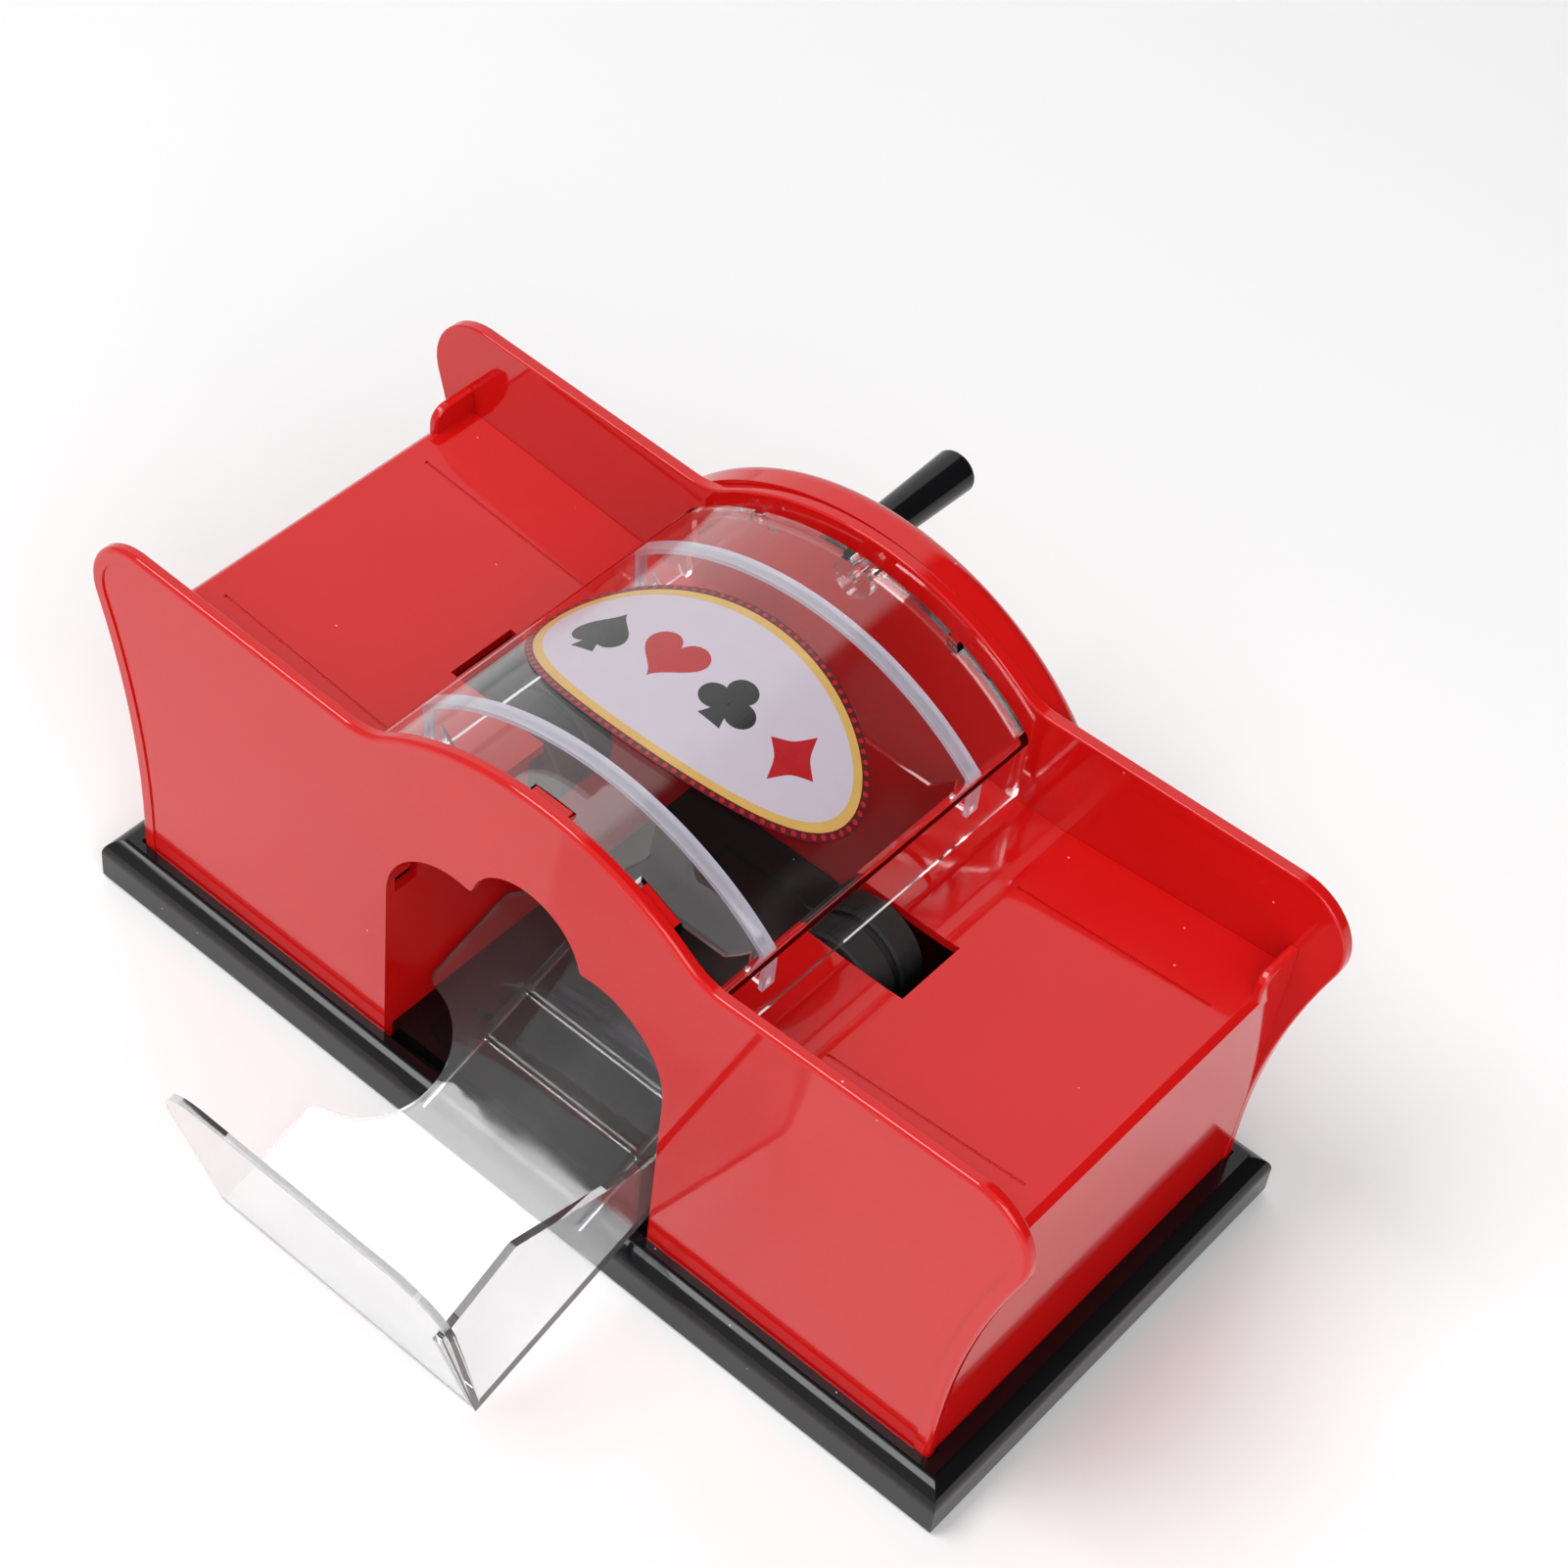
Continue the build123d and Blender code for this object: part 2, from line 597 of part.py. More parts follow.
# ------------------------------------------------------------------ gear housing
with BuildPart() as gear_housing:
    with BuildSketch(at_y(HOUSING_BACK)):
        with Locations((HOUSING_X, HOUSING_Z)):
            Circle(HOUSING_R)
        with Locations((0, HOUSING_FOOT - 50)):
            Rectangle(200, 100, mode=Mode.SUBTRACT)
    extrude(amount=HOUSING_BACK - PANEL_OUT - 0.05)
    fillet(gear_housing.faces().sort_by(Axis.Y)[-1].edges(), HOUSING_EDGE)
    with BuildSketch(at_y(housing_inside)):
        with Locations((HOUSING_X, HOUSING_Z)):
            Circle(HOUSING_R - HOUSING_RIM)
        with Locations((0, HOUSING_FOOT + HOUSING_RIM - 50)):
            Rectangle(200, 100, mode=Mode.SUBTRACT)
    extrude(amount=HOUSING_BACK, mode=Mode.SUBTRACT)
    with BuildSketch(at_y(HOUSING_BACK - 1)):
        with Locations(*HOUSING_SCREWS):
            Circle(3.4)
    extrude(amount=HOUSING_BACK - 1 - PANEL_OUT - 0.05)
    with BuildSketch(at_y(HOUSING_BACK + 1.2)):
        with Locations((0, AXIS_Z)):
            Circle(7)
    extrude(amount=2.2)
    with BuildSketch(at_y(HOUSING_BACK + 3)):
        with Locations(*HOUSING_SCREWS):
            Circle(1.6)
        with Locations((0, AXIS_Z)):
            Circle(4.0)
    extrude(amount=HOUSING_BACK, mode=Mode.SUBTRACT)
    with BuildSketch(at_y(HOUSING_BACK + 1)):
        with Locations(*HOUSING_SCREWS):
            Circle(2.9)
    extrude(amount=2.2, mode=Mode.SUBTRACT)
save(gear_housing.part, "gear_housing")

with BuildPart() as housing_screws:
    with BuildSketch(at_y(HOUSING_BACK - 0.1)):
        with Locations(*HOUSING_SCREWS):
            Circle(2.7)
            Rectangle(3.2, 0.7, mode=Mode.SUBTRACT)
            Rectangle(0.7, 3.2, mode=Mode.SUBTRACT)
    extrude(amount=0.6)
    with BuildSketch(at_y(HOUSING_BACK - 0.7)):
        with Locations(*HOUSING_SCREWS):
            Circle(2.7)
    extrude(amount=0.5)
    with BuildSketch(at_y(HOUSING_BACK - 1.2)):
        with Locations(*HOUSING_SCREWS):
            Circle(1.4)
    extrude(amount=HOUSING_BACK - 1.2 - PANEL_IN - 0.3)
save(housing_screws.part, "housing_screws")

# ------------------------------------------------------------------ rollers
for side, x, shaft_end in (("left", -ROLLER_X, INNER_LAYER[1]), ("right", ROLLER_X, OUTER_LAYER[1])):
    save(ring_at(x, AXIS_Z, -PANEL_IN + 0.8, shaft_end + 0.4, SHAFT_R, 0), f"{side}_roller_shaft")
    with BuildPart() as hub:
        add(ring_at(x, AXIS_Z, -HUB_Y, HUB_Y, HUB_R, SHAFT_R + PRESS))
        add(ring_at(x, AXIS_Z, -0.8, 0.8, ROLLER_R - 1.2, SHAFT_R + PRESS))
        add(ring_at(x, AXIS_Z, -HUB_Y - 0.7, HUB_Y + 0.7, 4.0, SHAFT_R + PRESS))
        with BuildSketch(at_y(HUB_Y)):
            with Locations((x, AXIS_Z)):
                Circle(HUB_R - 1.2)
                Circle(5.2, mode=Mode.SUBTRACT)
        extrude(amount=2.5, mode=Mode.SUBTRACT)
        with BuildSketch(at_y(-HUB_Y + 2.5)):
            with Locations((x, AXIS_Z)):
                Circle(HUB_R - 1.2)
                Circle(5.2, mode=Mode.SUBTRACT)
        extrude(amount=2.5, mode=Mode.SUBTRACT)
    save(hub.part, f"{side}_roller_hub")
    with BuildPart() as tyres:
        for low in (-HUB_Y, 0.8):
            with BuildPart(mode=Mode.PRIVATE) as tyre:
                add(ring_at(x, AXIS_Z, low, low + HUB_Y - 0.8, ROLLER_R, HUB_R + PRESS))
                chamfer(tyre.edges().filter_by(GeomType.CIRCLE).sort_by(SortBy.RADIUS)[-2:], 0.5)
            add(tyre.part)
    save(tyres.part, f"{side}_roller_tyres")
    with BuildPart() as clips:
        add(ring_at(x, AXIS_Z, -PANEL_IN + 4.2, -PANEL_IN + 5.0, 3.4, SHAFT_R + PRESS))
        add(ring_at(x, AXIS_Z, PANEL_IN - 1.0, PANEL_IN - 0.2, 3.4, SHAFT_R + PRESS))
    save(clips.part, f"{side}_shaft_clips")

# ------------------------------------------------------------------ crank and its grip
save(ring_at(0, AXIS_Z, PANEL_IN + 0.3, ARM_Y[1], CRANK_R, 0), "crank_shaft")

with BuildPart() as crank_arm:
    with BuildSketch(at_y(ARM_Y[1])):
        with Locations((0, AXIS_Z)):
            Circle(7.0)
        with Locations((grip_x, grip_z)):
            Circle(5.6)
        make_hull()
    extrude(amount=ARM_Y[1] - ARM_Y[0])
    chamfer(crank_arm.faces().sort_by(Axis.Y)[-1].edges(), 0.8)
    with BuildSketch(at_y(ARM_Y[1] + 1)):
        with Locations((0, AXIS_Z)):
            Circle(CRANK_R + PRESS)
        with Locations((grip_x, grip_z)):
            Circle(PIN_R + PRESS)
    extrude(amount=ARM_Y[1] - ARM_Y[0] + 2, mode=Mode.SUBTRACT)
save(crank_arm.part, "crank_arm")

with BuildPart() as crank_screw:
    with BuildSketch(at_y(ARM_Y[1] + 2.0)):
        with Locations((0, AXIS_Z)):
            Circle(4.2)
            Rectangle(4.0, 0.9, mode=Mode.SUBTRACT)
            Rectangle(0.9, 4.0, mode=Mode.SUBTRACT)
    extrude(amount=1.0)
    with BuildSketch(at_y(ARM_Y[1] + 1.0)):
        with Locations((0, AXIS_Z)):
            Circle(4.2)
    extrude(amount=0.95)
    fillet(crank_screw.edges().filter_by(GeomType.CIRCLE).sort_by(Axis.Y)[-1], 0.6)
save(crank_screw.part, "crank_screw")

save(ring_at(grip_x, grip_z, ARM_Y[0] + 0.3, GRIP_Y[1] - 3.0, PIN_R, 0), "grip_pin")

with BuildPart() as crank_grip:
    with BuildSketch(at_y(GRIP_Y[0])):
        with Locations((grip_x, grip_z)):
            Circle(GRIP_R[0])
    with BuildSketch(at_y(GRIP_Y[1])):
        with Locations((grip_x, grip_z)):
            Circle(GRIP_R[1])
    loft()
    fillet(crank_grip.edges().filter_by(GeomType.CIRCLE).sort_by(Axis.Y)[-1], 1.0)
    with BuildSketch(at_y(GRIP_Y[1] - 2.5)):
        with Locations((grip_x, grip_z)):
            Circle(PIN_R + FIT)
    extrude(amount=GRIP_Y[1], mode=Mode.SUBTRACT)
    with BuildSketch(at_y(GRIP_Y[1])):
        with Locations((grip_x, grip_z)):
            Circle(1.5)
    extrude(amount=0.3, mode=Mode.SUBTRACT)
save(crank_grip.part, "crank_grip")

# ------------------------------------------------------------------ clear cover
def cover_section(inset):
    """Closed section under the cover, drawn this far inside its outer skin."""
    radius = COVER_R - inset
    side = COVER_X - inset
    spring = COVER_Z + math.sqrt(radius**2 - side**2)
    crown = COVER_Z + radius
    foot = FLANGE_Z - inset
    with BuildSketch() as section:
        with BuildLine():
            ThreePointArc((-side, spring), (0, crown), (side, spring))
            Polyline((side, spring), (side, foot), (-side, foot), (-side, spring))
        make_face()
        corners = section.vertices().group_by(Axis.Y)[-1]
        fillet(corners, FOLD_R - inset)
    return section.sketch


with BuildPart() as clear_cover:
    with BuildSketch(at_y(COVER_BACK)):
        add(cover_section(0))
        add(cover_section(COVER_T), mode=Mode.SUBTRACT)
    extrude(amount=COVER_BACK - COVER_FRONT)
    # Stiffening rib along the rear edge.
    with BuildSketch(at_y(COVER_BACK)):
        add(cover_section(0.1))
        add(cover_section(COVER_T + 1.4), mode=Mode.SUBTRACT)
        with Locations((0, FLANGE_Z - 5)):
            Rectangle(2 * COVER_X, 10, mode=Mode.SUBTRACT)
    extrude(amount=1.4)
    # Notches for the tabs of the front panel, and two small ones at the back.
    for low, high in TABS:
        with BuildSketch(Plane.XY.offset(FLANGE_Z)):
            with Locations(((low + high) / 2, -PANEL_IN)):
                Rectangle(high - low + 1.0, 2 * TAB_Y + 0.6)
        extrude(amount=COVER_R, mode=Mode.SUBTRACT)
    with BuildSketch(Plane.XY.offset(FLANGE_Z + 16)):
        with Locations((-25.5, COVER_BACK), (23.2, COVER_BACK)):
            Rectangle(2.4, 2.0)
    extrude(amount=COVER_R, mode=Mode.SUBTRACT)
    # Half-round lug under the crown, next to the back panel.
    with BuildSketch(at_y(COVER_BACK)):
        with Locations((-0.5, COVER_Z + COVER_R - 5.0)):
            Circle(4.6)
            Circle(1.4, mode=Mode.SUBTRACT)
        with Locations((0, COVER_Z)):
            Circle(COVER_R - 0.2, mode=Mode.INTERSECT)
    extrude(amount=2.4)
save(clear_cover.part, "clear_cover")

for name, y in (("front_card_guide", COVER_MID - GUIDE_Y), ("rear_card_guide", COVER_MID + GUIDE_Y)):
    with BuildPart() as card_guide:
        # Plate that hangs under the cover, with a curved lower edge and a leg at each end.
        with BuildSketch(at_y(y + GUIDE_T / 2)):
            add(cover_section(COVER_T + GUIDE_GAP))
            with BuildLine():
                ThreePointArc((-GUIDE_X, GUIDE_HIP), (0, GUIDE_BELLY), (GUIDE_X, GUIDE_HIP))
                Polyline(
                    (GUIDE_X, GUIDE_HIP),
                    (GUIDE_X, FLANGE_Z - 14),
                    (-GUIDE_X, FLANGE_Z - 14),
                    (-GUIDE_X, GUIDE_HIP),
                )
            make_face(mode=Mode.SUBTRACT)
            with Locations((0, GUIDE_FOOT - 10)):
                Rectangle(2 * COVER_X, 20, mode=Mode.SUBTRACT)
        extrude(amount=GUIDE_T)
        # Wide upper edge that lies along the inside of the cover.
        with BuildSketch(at_y(y + GUIDE_EDGE / 2)):
            add(cover_section(COVER_T + GUIDE_GAP))
            add(cover_section(COVER_T + 1.0), mode=Mode.SUBTRACT)
            with Locations((0, GUIDE_FOOT - 10)):
                Rectangle(2 * COVER_X, 20, mode=Mode.SUBTRACT)
        extrude(amount=GUIDE_EDGE)
    save(card_guide.part, name)

with BuildPart() as cover_label:
    with BuildSketch(at_y(22)):
        with Locations((0, COVER_Z)):
            Circle(COVER_R + 0.2)
            Circle(COVER_R + 0.05, mode=Mode.SUBTRACT)
    extrude(amount=50)
    with BuildSketch(Plane.XY.offset(FLANGE_Z + 4)):
        with Locations(LABEL_AT):
            Ellipse(*LABEL_HALF)
    extrude(amount=COVER_R, mode=Mode.INTERSECT)
save(cover_label.part, "cover_label")

# ------------------------------------------------------------------ clear tray
tray_up = (0, -math.sin(TRAY_TILT), math.cos(TRAY_TILT))
tray_origin = (0, TRAY_FRONT, TRAY_LIFT)
tray_floor = Plane(origin=tray_origin, x_dir=(1, 0, 0), z_dir=tray_up)
tray_side = Plane(
    origin=(TRAY_X, TRAY_FRONT, TRAY_LIFT),
    x_dir=(0, math.cos(TRAY_TILT), math.sin(TRAY_TILT)),
    z_dir=(1, 0, 0),
)
tray_front = Plane(
    origin=tray_origin,
    x_dir=(1, 0, 0),
    z_dir=(0, -math.cos(WALL_LEAN), -math.sin(WALL_LEAN)),
)

with BuildPart() as card_tray:
    with BuildSketch(tray_floor) as floor_face:
        with BuildLine():
            Polyline(
                (-TRAY_X, 0),
                (TRAY_X, 0),
                (TRAY_X, TRAY_LONG),
                (-TRAY_X + 7, TRAY_LONG),
                (-TRAY_X, TRAY_LONG - 7),
                close=True,
            )
        make_face()
        with Locations((-TRAY_X, NOTCH_U)):
            Circle(NOTCH_R, mode=Mode.SUBTRACT)
        edge = floor_face.vertices().filter_by(lambda v: abs(v.X + TRAY_X) < 0.1)
        fillet(edge.filter_by(lambda v: abs(abs(v.Y - NOTCH_U) - NOTCH_R) < 0.1), 3)
    extrude(amount=TRAY_T)
    # Low ribs under the rear half of the floor. The two long ones rest on the rim of the base.
    with BuildSketch(tray_floor):
        with Locations((3, 73)):
            Rectangle(42, 32)
            Rectangle(39.6, 29.6, mode=Mode.SUBTRACT)
        with Locations((3, 70)):
            Rectangle(42, 1.2)
        with Locations((-17.4, 64), (23.4, 64)):
            Rectangle(1.2, 50)
    extrude(amount=-RIB_TALL)
    # Side wall on the right: tall beside the front wall, then falling towards the back.
    with BuildSketch(tray_side):
        with BuildLine():
            Polyline(
                (0, 0),
                (TRAY_LONG, 0),
                (TRAY_LONG, 4.4),
                (72, 4.4),
                (22.5, SIDE_TALL),
                (1.0, SIDE_TALL - 3.4),
                close=True,
            )
        make_face()
    extrude(amount=-TRAY_T)
    # Front wall, leaning outwards, with round upper corners.
    with BuildSketch(tray_front):
        with BuildLine():
            Line((-TRAY_X, 0), (TRAY_X, 0))
            Line((TRAY_X, 0), (TRAY_X + 2.4, FRONT_TALL - 13))
            ThreePointArc(
                (TRAY_X + 2.4, FRONT_TALL - 13),
                (TRAY_X - 1.2, FRONT_TALL - 3.8),
                (TRAY_X - 10.4, FRONT_TALL),
            )
            Line((TRAY_X - 10.4, FRONT_TALL), (-TRAY_X + 10.4, FRONT_TALL))
            ThreePointArc(
                (-TRAY_X + 10.4, FRONT_TALL),
                (-TRAY_X + 1.2, FRONT_TALL - 3.8),
                (-TRAY_X - 2.4, FRONT_TALL - 13),
            )
            Line((-TRAY_X - 2.4, FRONT_TALL - 13), (-TRAY_X, 0))
        make_face()
    extrude(amount=-TRAY_T)
save(card_tray.part, "card_tray")
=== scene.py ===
import json
import math

import bmesh
import bpy
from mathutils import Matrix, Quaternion, Vector

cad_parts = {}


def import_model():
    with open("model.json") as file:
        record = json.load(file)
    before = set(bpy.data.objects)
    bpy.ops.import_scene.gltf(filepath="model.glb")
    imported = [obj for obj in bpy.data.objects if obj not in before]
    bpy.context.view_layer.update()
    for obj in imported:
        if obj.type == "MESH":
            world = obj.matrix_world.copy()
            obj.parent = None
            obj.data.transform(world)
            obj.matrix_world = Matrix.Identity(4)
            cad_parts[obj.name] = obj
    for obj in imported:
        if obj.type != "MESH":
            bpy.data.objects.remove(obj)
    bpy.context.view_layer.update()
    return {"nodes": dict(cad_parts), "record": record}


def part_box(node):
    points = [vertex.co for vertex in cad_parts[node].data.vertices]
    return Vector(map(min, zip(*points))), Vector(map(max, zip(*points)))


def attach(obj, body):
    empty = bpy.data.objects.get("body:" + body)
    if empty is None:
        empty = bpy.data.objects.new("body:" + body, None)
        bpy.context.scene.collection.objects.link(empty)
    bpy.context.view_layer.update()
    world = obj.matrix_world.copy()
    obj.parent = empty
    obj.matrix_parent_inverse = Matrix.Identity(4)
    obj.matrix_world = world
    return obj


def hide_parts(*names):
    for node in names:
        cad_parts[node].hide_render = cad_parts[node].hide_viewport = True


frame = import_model()

# Metres, in the frame of the CAD model. +X runs from hopper to hopper, the tray is at -Y, the crank at +Y.
MM = 0.001

# ---- Camera ----
CAMERA_AT = Vector((0.26103, -0.34983, 0.55915))
CAMERA_AZIMUTH = math.radians(34.686)
CAMERA_ELEVATION = math.radians(47.713)
CAMERA_ROLL = math.radians(8.049)
CAMERA_LENS = 78.68
CAMERA_CLIP = (0.01, 20.0)
SENSOR = 36.0

# ---- Light ----
# Strength of the surroundings: back left, back right, in front, and as the camera itself sees them.
WALL_LIGHT = 1.05
CORNER_LIGHT = 0.06
FRONT_LIGHT = 0.52
BACKDROP = 0.95
# Between these X of a direction the wall gives way to the corner, between these Y the front to the back.
CORNER_FROM, CORNER_TO = -0.17, -0.07
BEHIND_FROM, BEHIND_TO = 0.15, 0.40
KEY_PLACE = (-0.865, -0.99, 2.1)
KEY_TARGET = (-0.865, -0.99, 0)
KEY_SIZE = (1.19, 1.28)
KEY_POWER = 32
FILL_PLACE = (0.9, -0.6, 0.9)
FILL_TARGET = (0, 0, 0.05)
FILL_SIZE = (0.9, 0.9)
FILL_POWER = 8.5

# ---- Floor. It lies just under the feet, so that no two faces share a plane ----
FLOOR_HALF = 3.0
FLOOR_DROP = 0.05 * MM

# ---- The arch of the clear cover, from the frame ----
COVER_RADIUS = 63.0 * MM
COVER_AXIS_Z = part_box("clear_cover")[1][2] - COVER_RADIUS
COVER_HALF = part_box("clear_cover")[1][0]

# ---- Materials ----
GUIDE_DEPTH = 2.6 * MM
NOISE_LOW, NOISE_HIGH = 0.3, 0.7
SOFT_STEP = 0.1 * MM
PLASTIC_IOR = 1.49
# Radius of a dust speck, as a share of the distance between specks.
SPECK_RADIUS = 0.05


# ------------------------------------------------------------------ materials
class Maker:
    """One node material being put together."""

    def __init__(self, name):
        self.material = bpy.data.materials.new(name)
        self.material.use_nodes = True
        self.nodes = self.material.node_tree.nodes
        self.links = self.material.node_tree.links
        self.shader = self.nodes["Principled BSDF"]
        self.place = self.node("ShaderNodeTexCoord").outputs["Object"]

    def node(self, kind, **settings):
        made = self.nodes.new(kind)
        for key, value in settings.items():
            setattr(made, key, value)
        return made

    def link(self, source, target):
        self.links.new(source, target)

    def set(self, **values):
        """Constants on the shader's own sockets. An underscore stands for a space."""
        for key, value in values.items():
            self.shader.inputs[key.replace("_", " ")].default_value = value

    def noise(self, size, detail=3.0, roughness=0.5):
        """Noise whose features are about this many metres across."""
        made = self.node("ShaderNodeTexNoise")
        made.inputs["Scale"].default_value = 1.0 / size
        made.inputs["Detail"].default_value = detail
        made.inputs["Roughness"].default_value = roughness
        self.link(self.place, made.inputs["Vector"])
        return made.outputs["Fac"]

    def between(self, factor, low, high):
        """A number from low to high, over the range that noise mostly stays in."""
        made = self.node("ShaderNodeMapRange")
        made.inputs["From Min"].default_value = NOISE_LOW
        made.inputs["From Max"].default_value = NOISE_HIGH
        made.inputs["To Min"].default_value = low
        made.inputs["To Max"].default_value = high
        self.link(factor, made.inputs["Value"])
        return made.outputs["Result"]

    def mix(self, factor, first, second):
        """A colour between two, which are sockets or (r, g, b)."""
        made = self.node("ShaderNodeMix", data_type="RGBA")
        self.link(factor, made.inputs["Factor"])
        for value, socket in ((first, made.inputs["A"]), (second, made.inputs["B"])):
            if isinstance(value, tuple):
                socket.default_value = (*value, 1.0)
            else:
                self.link(value, socket)
        return made.outputs["Result"]

    def compare(self, value, limit):
        """1 where value is above limit, with a narrow soft step."""
        made = self.node("ShaderNodeMapRange")
        made.inputs["From Min"].default_value = limit
        made.inputs["From Max"].default_value = limit + SOFT_STEP
        self.link(value, made.inputs["Value"])
        return made.outputs["Result"]

    def open_to_lamps(self, tint):
        """Lets light from lamps pass straight through, as clear plastic does."""
        path = self.node("ShaderNodeLightPath")
        passing = self.node("ShaderNodeBsdfTransparent")
        passing.inputs["Color"].default_value = (*tint, 1.0)
        both = self.node("ShaderNodeMixShader")
        self.link(path.outputs["Is Shadow Ray"], both.inputs[0])
        self.link(self.shader.outputs["BSDF"], both.inputs[1])
        self.link(passing.outputs["BSDF"], both.inputs[2])
        self.link(both.outputs["Shader"], self.nodes["Material Output"].inputs["Surface"])

    def bump(self, height, depth):
        """Raises the surface by up to depth metres where height is 1."""
        made = self.node("ShaderNodeBump")
        made.inputs["Distance"].default_value = depth
        made.inputs["Strength"].default_value = 1.0
        self.link(height, made.inputs["Height"])
        self.link(made.outputs["Normal"], self.shader.inputs["Normal"])

    def specks(self, size, share):
        """1 in small round specks about this far apart, with this share of them kept, and 0 elsewhere."""
        cells = self.node("ShaderNodeTexVoronoi")
        cells.inputs["Scale"].default_value = 1.0 / size
        self.link(self.place, cells.inputs["Vector"])
        near = self.node("ShaderNodeMath", operation="LESS_THAN")
        self.link(cells.outputs["Distance"], near.inputs[0])
        near.inputs[1].default_value = SPECK_RADIUS
        apart = self.node("ShaderNodeSeparateColor")
        self.link(cells.outputs["Color"], apart.inputs["Color"])
        kept = self.node("ShaderNodeMath", operation="LESS_THAN")
        self.link(apart.outputs["Red"], kept.inputs[0])
        kept.inputs[1].default_value = share
        both = self.node("ShaderNodeMath", operation="MULTIPLY")
        self.link(near.outputs["Value"], both.inputs[0])
        self.link(kept.outputs["Value"], both.inputs[1])
        return both.outputs["Value"]


def red_plastic():
    """Glossy red moulding with slight flow mottling and a few dust specks."""
    m = Maker("red_plastic")
    flow = m.noise(40 * MM)
    base = m.mix(flow, (0.57, 0.0048, 0.0044), (0.62, 0.0062, 0.0056))
    m.link(m.mix(m.specks(4.5 * MM, 0.10), base, (0.80, 0.40, 0.38)), m.shader.inputs["Base Color"])
    m.link(m.between(m.noise(12 * MM), 0.045, 0.085), m.shader.inputs["Roughness"])
    m.bump(m.noise(22 * MM, 2.0), 0.015 * MM)
    m.set(IOR=1.49)
    return m.material


def black_plastic():
    """Glossy black moulding with dust specks and fine scuffs."""
    m = Maker("black_plastic")
    base = m.mix(m.noise(25 * MM), (0.0035, 0.0035, 0.0042), (0.0060, 0.0060, 0.0070))
    m.link(m.mix(m.specks(3.5 * MM, 0.12), base, (0.45, 0.45, 0.45)), m.shader.inputs["Base Color"])
    m.link(m.between(m.noise(9 * MM, 5.0), 0.06, 0.16), m.shader.inputs["Roughness"])
    m.bump(m.noise(14 * MM, 2.0), 0.012 * MM)
    m.set(IOR=1.42)
    return m.material


def dark_plastic():
    """Plain black moulding with a fine grain."""
    m = Maker("dark_plastic")
    base = m.mix(m.noise(8 * MM), (0.010, 0.010, 0.011), (0.018, 0.018, 0.020))
    m.link(base, m.shader.inputs["Base Color"])
    m.link(m.between(m.noise(3 * MM), 0.42, 0.58), m.shader.inputs["Roughness"])
    m.bump(m.noise(0.35 * MM, 2.0), 0.02 * MM)
    return m.material


def rubber():
    """Black rubber with a fine ground surface."""
    m = Maker("rubber")
    base = m.mix(m.noise(5 * MM), (0.012, 0.012, 0.012), (0.026, 0.026, 0.027))
    m.link(base, m.shader.inputs["Base Color"])
    m.link(m.between(m.noise(1.5 * MM), 0.45, 0.68), m.shader.inputs["Roughness"])
    m.bump(m.noise(0.3 * MM, 4.0), 0.03 * MM)
    return m.material


def clear_plastic(name, low, high, passed, haze, shade):
    """Clear moulding tinted from low to high, with faint flow streaks: faintly cool for the cover, while the
    tray's darker grey tint is partly its own tint and partly painted shade of the floor under it. Shade is
    what it takes from lamps.
    """
    m = Maker(name)
    m.link(m.mix(m.noise(30 * MM), low, high), m.shader.inputs["Base Color"])
    m.link(m.between(m.noise(14 * MM, 6.0), 0.0, haze), m.shader.inputs["Roughness"])
    m.bump(m.noise(18 * MM, 2.0), 0.03 * MM)
    m.set(IOR=PLASTIC_IOR, Transmission_Weight=passed)
    m.open_to_lamps(shade)
    return m.material


def guide_plastic():
    """Clear moulding whose wide edge, next to the skin of the cover, is frosted."""
    m = Maker("guide_plastic")
    axis = m.node("ShaderNodeVectorMath", operation="SUBTRACT")
    m.link(m.place, axis.inputs[0])
    axis.inputs[1].default_value = (0.0, 0.0, COVER_AXIS_Z)
    flat = m.node("ShaderNodeVectorMath", operation="MULTIPLY")
    m.link(axis.outputs["Vector"], flat.inputs[0])
    flat.inputs[1].default_value = (1.0, 0.0, 1.0)
    radius = m.node("ShaderNodeVectorMath", operation="LENGTH")
    m.link(flat.outputs["Vector"], radius.inputs[0])
    apart = m.node("ShaderNodeSeparateXYZ")
    m.link(m.place, apart.inputs["Vector"])
    across = m.node("ShaderNodeMath", operation="ABSOLUTE")
    m.link(apart.outputs["X"], across.inputs[0])
    frost = m.node("ShaderNodeMath", operation="MAXIMUM")
    m.link(m.compare(radius.outputs["Value"], COVER_RADIUS - GUIDE_DEPTH), frost.inputs[0])
    m.link(m.compare(across.outputs["Value"], COVER_HALF - GUIDE_DEPTH), frost.inputs[1])
    frost = frost.outputs["Value"]
    white = m.mix(m.noise(5 * MM), (0.66, 0.64, 0.74), (0.78, 0.76, 0.85))
    m.link(m.mix(frost, (0.97, 0.98, 0.985), white), m.shader.inputs["Base Color"])
    for socket, plain, frosted in (("Roughness", 0.02, 0.40), ("Transmission Weight", 1.0, 0.55)):
        made = m.node("ShaderNodeMapRange")
        made.inputs["To Min"].default_value = plain
        made.inputs["To Max"].default_value = frosted
        m.link(frost, made.inputs["Value"])
        m.link(made.outputs["Result"], m.shader.inputs[socket])
    m.set(IOR=PLASTIC_IOR)
    m.open_to_lamps((0.90, 0.90, 0.91))
    return m.material


def gear_plastic():
    """Off-white moulding with a waxy look."""
    m = Maker("gear_plastic")
    m.link(m.mix(m.noise(6 * MM), (0.72, 0.70, 0.62), (0.80, 0.78, 0.71)), m.shader.inputs["Base Color"])
    m.link(m.between(m.noise(2 * MM), 0.35, 0.5), m.shader.inputs["Roughness"])
    m.bump(m.noise(0.6 * MM), 0.01 * MM)
    return m.material


